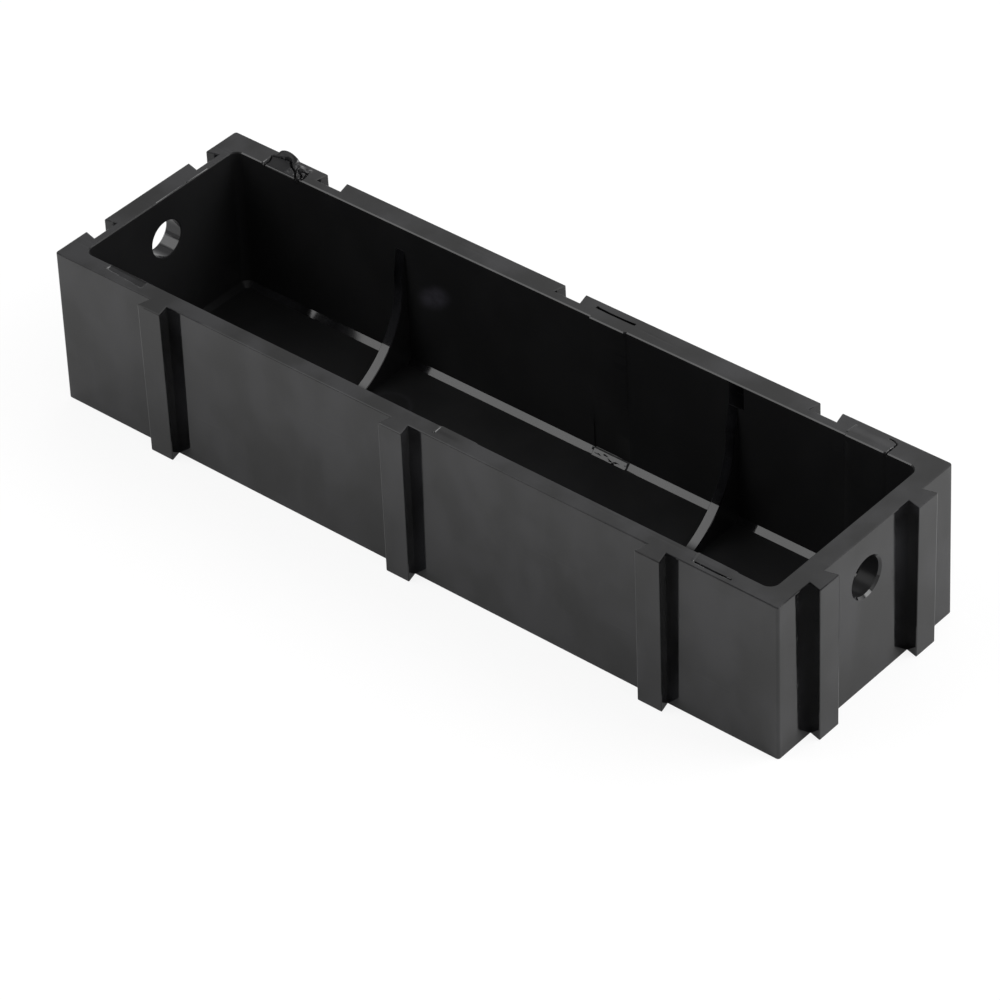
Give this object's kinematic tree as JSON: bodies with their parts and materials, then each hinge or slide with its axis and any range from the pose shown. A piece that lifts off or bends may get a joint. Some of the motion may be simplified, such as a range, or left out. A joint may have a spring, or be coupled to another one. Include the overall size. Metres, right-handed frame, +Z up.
{
  "type": "battery holder",
  "caption": "Open black plastic tray for one round cell, with cradle ribs, contact holes in the ends, and dovetail rails and grooves that join trays side by side and end to end.",
  "frame": {"origin": "centre of the body's base, without the rails, on the surface that the tray stands on", "axes": "+X along the tray towards the end with rails, +Y from the wall with rails towards the wall with grooves, +Z up out of the open side"},
  "size_m": [0.0814, 0.025, 0.0165],
  "materials": {
    "black_plastic": "glossy black injection-moulded plastic with fine handling marks"
  },
  "bodies": {
    "root": {"tray": "black_plastic"}
  },
  "joints": []
}
